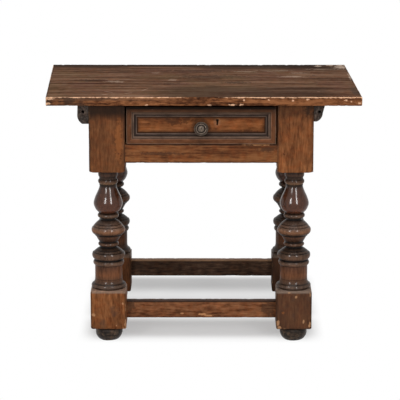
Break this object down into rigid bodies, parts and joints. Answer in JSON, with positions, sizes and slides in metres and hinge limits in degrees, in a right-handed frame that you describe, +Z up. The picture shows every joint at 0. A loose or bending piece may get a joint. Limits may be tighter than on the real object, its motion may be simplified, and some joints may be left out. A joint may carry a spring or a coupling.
{
  "type": "tavern table",
  "caption": "Low tavern table with an overhanging plank top, turned legs on bun feet, box stretchers and a locking drawer with a moulded front and round knob.",
  "frame": {"origin": "on the floor under the middle of the top", "axes": "+X to the right along the length of the top, +Y to the back, +Z up; the drawer faces -Y"},
  "size_m": [0.916, 0.58, 0.732],
  "materials": {
    "top_walnut": "old waxed walnut, scratched, worn pale along its edges",
    "leg_walnut": "polished dark walnut",
    "frame_walnut": "waxed walnut",
    "drawer_walnut": "waxed walnut, dark in the mouldings",
    "dark_wood": "blackened wood",
    "drawer_poplar": "plain planed poplar, browned with age",
    "peg_wood": "end grain, waxed over",
    "wrought_iron": "forged iron, dark",
    "knob_bronze": "old bronze, dark brown, rubbed on its rings"
  },
  "bodies": {
    "frame": {"top_front_board": "top_walnut", "top_rear_board": "top_walnut", "front_left_leg": "leg_walnut", "front_right_leg": "leg_walnut", "rear_left_leg": "leg_walnut", "rear_right_leg": "leg_walnut", "front_rail": "frame_walnut", "left_apron": "frame_walnut", "right_apron": "frame_walnut", "rear_apron": "frame_walnut", "front_stretcher": "frame_walnut", "rear_stretcher": "frame_walnut", "left_stretcher": "frame_walnut", "right_stretcher": "frame_walnut", "left_batten": "dark_wood", "right_batten": "dark_wood", "front_left_foot": "dark_wood", "front_right_foot": "dark_wood", "rear_left_foot": "dark_wood", "rear_right_foot": "dark_wood", "left_drawer_runner": "drawer_poplar", "right_drawer_runner": "drawer_poplar", "apron_pegs": "peg_wood", "stretcher_pegs": "peg_wood", "top_nails": "wrought_iron", "batten_nails": "wrought_iron", "runner_nails": "wrought_iron"},
    "drawer": {"drawer_front": "drawer_walnut", "top_moulding": "drawer_walnut", "bottom_moulding": "drawer_walnut", "left_moulding": "drawer_walnut", "right_moulding": "drawer_walnut", "drawer_left_side": "drawer_poplar", "drawer_right_side": "drawer_poplar", "drawer_back": "drawer_poplar", "drawer_bottom": "drawer_poplar", "drawer_knob": "knob_bronze", "knob_washer": "wrought_iron", "lock_plate": "wrought_iron", "lock_cap": "wrought_iron", "lock_spring": "wrought_iron", "lock_rivets": "wrought_iron", "lock_nails": "wrought_iron", "drawer_nails": "wrought_iron", "moulding_pins": "wrought_iron"},
    "bolt": {"lock_bolt": "wrought_iron"}
  },
  "joints": [
    {"name": "drawer_slide", "type": "slide", "parent": "frame", "child": "drawer", "axis": [0, -1, 0], "range_m": [0, 0.34]},
    {"name": "bolt_slide", "type": "slide", "parent": "drawer", "child": "bolt", "axis": [0, 0, 1], "range_m": [0, 0.014]}
  ]
}
